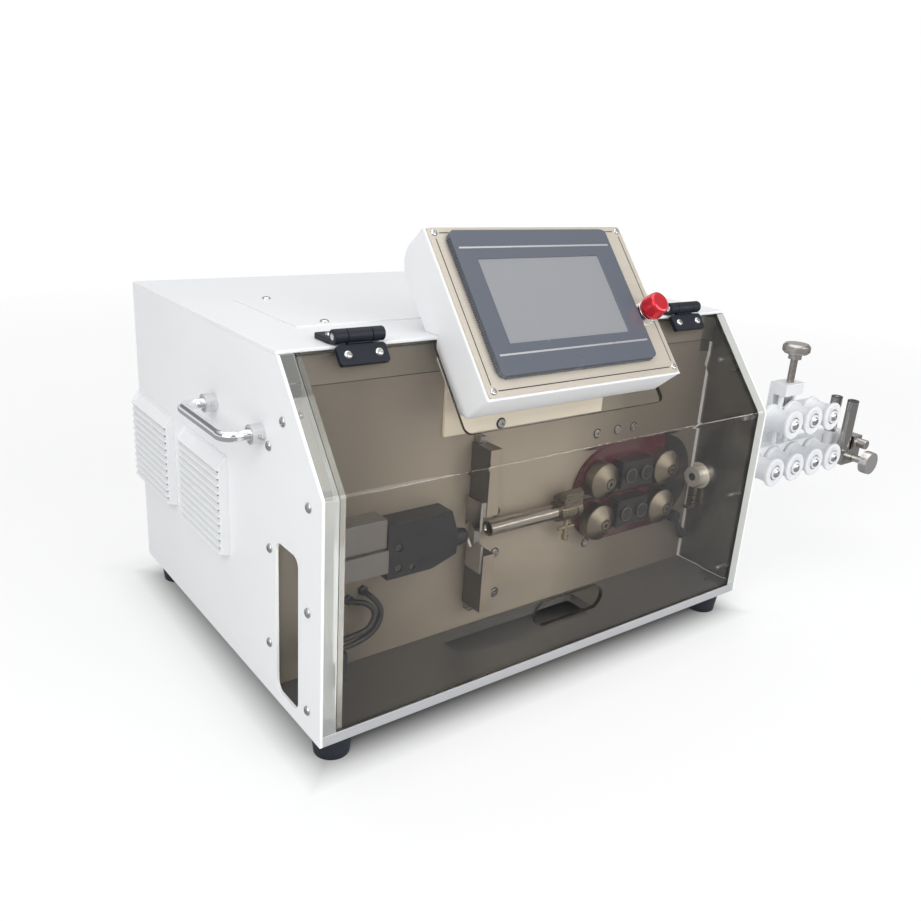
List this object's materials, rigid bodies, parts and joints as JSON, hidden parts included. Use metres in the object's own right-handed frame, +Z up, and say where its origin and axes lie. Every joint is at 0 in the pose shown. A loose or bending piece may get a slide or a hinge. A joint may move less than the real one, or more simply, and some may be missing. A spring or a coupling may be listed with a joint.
{
  "type": "wire cutting and stripping machine",
  "caption": "Bench-top wire cutting and stripping machine: white sheet cabinet, tinted hinged cover, tilted touch console, feed and cutter unit, roller straightener at its side",
  "frame": {"origin": "under the middle of the machine's overall box, on the bench plane of its four rubber feet", "axes": "+X to the right along the wire line towards the straightener, +Y from the front cover to the rear, +Z up"},
  "size_m": [0.982, 0.4558, 0.4639],
  "materials": {
    "white_paint": "fine powder coat",
    "base_aluminium": "milled",
    "rubber_black": "matt",
    "plastic_black": "moulded",
    "rocker_plastic": "moulded",
    "chrome_bar": "polished plating",
    "clear_acrylic": "clear sheet",
    "smoked_acrylic": "tinted sheet with polished edges",
    "face_steel": "brushed along its width",
    "bezel_plastic": "moulded",
    "screen_glass": "dark display under glass",
    "stop_red": "gloss",
    "collar_metal": "satin plating",
    "plate_steel": "ground",
    "feed_maroon": "red anodised look",
    "block_dark": "blackened steel",
    "wheel_brass": "turned face",
    "drive_grey": "black oxide",
    "tool_steel": "ground",
    "blade_steel": "ground edge",
    "screw_brass": "turned",
    "cable_black": "smooth sheath",
    "bar_aluminium": "milled",
    "nylon_white": "turned nylon",
    "knob_steel": "knurled"
  },
  "bodies": {
    "cabinet": {"base_plate": "base_aluminium", "feet": "rubber_black", "left_side_panel": "white_paint", "right_side_panel": "white_paint", "top_panel": "white_paint", "top_hatch": "white_paint", "rear_panel": "white_paint", "power_inlet": "plastic_black", "louvre_vents": "white_paint", "carry_handles": "chrome_bar", "end_strips": "clear_acrylic", "hinge_base_leaves": "plastic_black", "console_housing": "white_paint", "console_face_plate": "face_steel", "touch_panel_bezel": "bezel_plastic", "touch_screen": "screen_glass", "stop_button_collar": "collar_metal", "console_bracket": "plate_steel", "main_plate": "plate_steel", "lower_feed_plate": "feed_maroon", "lower_feed_block": "block_dark", "drive_motors": "drive_grey", "cutter_rail": "tool_steel", "cover_switch": "plastic_black", "outlet_block": "plastic_black", "outlet_bars": "bar_aluminium", "sensor_cable": "cable_black", "inlet_bush": "tool_steel", "straightener_base": "bar_aluminium"},
    "cover": {"safety_cover": "smoked_acrylic", "cover_hinge_leaves": "plastic_black"},
    "stop_button": {"stop_button": "stop_red"},
    "power_rocker": {"power_switch": "rocker_plastic"},
    "upper_feed": {"upper_feed_plate": "feed_maroon", "upper_feed_block": "block_dark", "upper_feed_drive": "drive_grey"},
    "wheel_ul": {"feed_wheel_ul": "wheel_brass"},
    "wheel_ur": {"feed_wheel_ur": "wheel_brass"},
    "wheel_ll": {"feed_wheel_ll": "wheel_brass"},
    "wheel_lr": {"feed_wheel_lr": "wheel_brass"},
    "guide_arm": {"guide_tube": "tool_steel", "tube_holder": "tool_steel"},
    "tube_clamp": {"tube_clamp_screw": "screw_brass"},
    "upper_cutter": {"upper_blade_holder": "block_dark", "upper_blade": "blade_steel"},
    "lower_cutter": {"lower_blade_holder": "block_dark", "lower_blade": "blade_steel"},
    "lead_screw": {"cutter_screw": "tool_steel"},
    "lever": {"pressure_lever": "plastic_black"},
    "upper_row": {"upper_roller_bar": "bar_aluminium"},
    "height_screw": {"height_screw": "knob_steel"},
    "roller_u1": {"upper_roller_1": "nylon_white"},
    "roller_u2": {"upper_roller_2": "nylon_white"},
    "roller_u3": {"upper_roller_3": "nylon_white"},
    "roller_l1": {"lower_roller_1": "nylon_white"},
    "roller_l2": {"lower_roller_2": "nylon_white"},
    "roller_l3": {"lower_roller_3": "nylon_white"},
    "roller_l4": {"lower_roller_4": "nylon_white"},
    "gap_carriage": {"guide_post_carrier": "tool_steel"},
    "gap_screw": {"gap_screw": "knob_steel"}
  },
  "joints": [
    {"name": "cover_hinge", "type": "hinge", "parent": "cabinet", "child": "cover", "pos_m": [-0.1565, -0.143, 0.376], "axis": [-1, 0, 0], "range_deg": [0, 105]},
    {"name": "stop_press", "type": "slide", "parent": "cabinet", "child": "stop_button", "axis": [0, 0.7716, -0.6361], "range_m": [0, 0.004], "stiffness_N_per_m": 900},
    {"name": "power_rocker", "type": "hinge", "parent": "cabinet", "child": "power_rocker", "pos_m": [0.045, 0.223, 0.125], "axis": [1, 0, 0], "range_deg": [-16, 0]},
    {"name": "upper_feed_lift", "type": "slide", "parent": "cabinet", "child": "upper_feed", "axis": [0, 0, 1], "range_m": [-0.0065, 0.004]},
    {"name": "wheel_ll_turn", "type": "hinge", "parent": "cabinet", "child": "wheel_ll", "pos_m": [-0.047, -0.146, 0.1325], "axis": [0, 1, 0], "continuous": true},
    {"name": "wheel_lr_turn", "type": "hinge", "parent": "cabinet", "child": "wheel_lr", "pos_m": [0.058, -0.146, 0.1325], "axis": [0, 1, 0], "continuous": true},
    {"name": "wheel_ul_turn", "type": "hinge", "parent": "upper_feed", "child": "wheel_ul", "pos_m": [-0.047, -0.146, 0.1835], "axis": [0, 1, 0], "continuous": true},
    {"name": "wheel_ur_turn", "type": "hinge", "parent": "upper_feed", "child": "wheel_ur", "pos_m": [0.058, -0.146, 0.1835], "axis": [0, 1, 0], "continuous": true},
    {"name": "guide_tube_swing", "type": "hinge", "parent": "cabinet", "child": "guide_arm", "pos_m": [-0.098, -0.146, 0.158], "axis": [0, 1, 0], "range_deg": [0, 12]},
    {"name": "tube_clamp_turn", "type": "hinge", "parent": "guide_arm", "child": "tube_clamp", "pos_m": [-0.096, -0.146, 0.13], "axis": [0, 0, 1], "range_deg": [0, 180]},
    {"name": "upper_blade_slide", "type": "slide", "parent": "cabinet", "child": "upper_cutter", "axis": [0, 0, 1], "range_m": [-0.012, 0.006]},
    {"name": "lower_blade_slide", "type": "slide", "parent": "cabinet", "child": "lower_cutter", "axis": [0, 0, 1], "range_m": [-0.006, 0.012]},
    {"name": "cutter_screw_turn", "type": "hinge", "parent": "cabinet", "child": "lead_screw", "pos_m": [-0.21, -0.091, 0.15], "axis": [0, 0, 1], "range_deg": [-1081, 541]},
    {"name": "pressure_lever_turn", "type": "hinge", "parent": "cabinet", "child": "lever", "pos_m": [0.099, -0.14, 0.107], "axis": [0, 1, 0], "range_deg": [0, 80]},
    {"name": "upper_row_slide", "type": "slide", "parent": "cabinet", "child": "upper_row", "axis": [0, 0, 1], "range_m": [-0.032, 0.006]},
    {"name": "height_screw_turn", "type": "hinge", "parent": "upper_row", "child": "height_screw", "pos_m": [0.3485, -0.118, 0.29], "axis": [0, 0, 1], "range_deg": [-7681, 1441]},
    {"name": "upper_roller_1_turn", "type": "hinge", "parent": "upper_row", "child": "roller_u1", "pos_m": [0.3015, -0.146, 0.2065], "axis": [0, 1, 0], "continuous": true},
    {"name": "upper_roller_2_turn", "type": "hinge", "parent": "upper_row", "child": "roller_u2", "pos_m": [0.3485, -0.146, 0.2065], "axis": [0, 1, 0], "continuous": true},
    {"name": "upper_roller_3_turn", "type": "hinge", "parent": "upper_row", "child": "roller_u3", "pos_m": [0.3955, -0.146, 0.2065], "axis": [0, 1, 0], "continuous": true},
    {"name": "lower_roller_1_turn", "type": "hinge", "parent": "cabinet", "child": "roller_l1", "pos_m": [0.278, -0.146, 0.1415], "axis": [0, 1, 0], "continuous": true},
    {"name": "lower_roller_2_turn", "type": "hinge", "parent": "cabinet", "child": "roller_l2", "pos_m": [0.325, -0.146, 0.1415], "axis": [0, 1, 0], "continuous": true},
    {"name": "lower_roller_3_turn", "type": "hinge", "parent": "cabinet", "child": "roller_l3", "pos_m": [0.372, -0.146, 0.1415], "axis": [0, 1, 0], "continuous": true},
    {"name": "lower_roller_4_turn", "type": "hinge", "parent": "cabinet", "child": "roller_l4", "pos_m": [0.419, -0.146, 0.1415], "axis": [0, 1, 0], "continuous": true},
    {"name": "guide_gap_slide", "type": "slide", "parent": "cabinet", "child": "gap_carriage", "axis": [0, 1, 0], "range_m": [-0.005, 0.009]},
    {"name": "gap_screw_turn", "type": "hinge", "parent": "gap_carriage", "child": "gap_screw", "pos_m": [0.4755, -0.166, 0.132], "axis": [0, 1, 0], "range_deg": [-1201, 2161]}
  ],
  "couplings": [
    {"joint": "wheel_lr_turn", "follows": "wheel_ll_turn", "ratio": 1},
    {"joint": "wheel_ul_turn", "follows": "wheel_ll_turn", "ratio": -1},
    {"joint": "wheel_ur_turn", "follows": "wheel_ll_turn", "ratio": -1},
    {"joint": "lower_blade_slide", "follows": "upper_blade_slide", "ratio": -1},
    {"joint": "cutter_screw_turn", "follows": "upper_blade_slide", "rad_per_m": 1570.8},
    {"joint": "height_screw_turn", "follows": "upper_row_slide", "rad_per_m": 4188.8},
    {"joint": "gap_screw_turn", "follows": "guide_gap_slide", "rad_per_m": 4188.8}
  ]
}
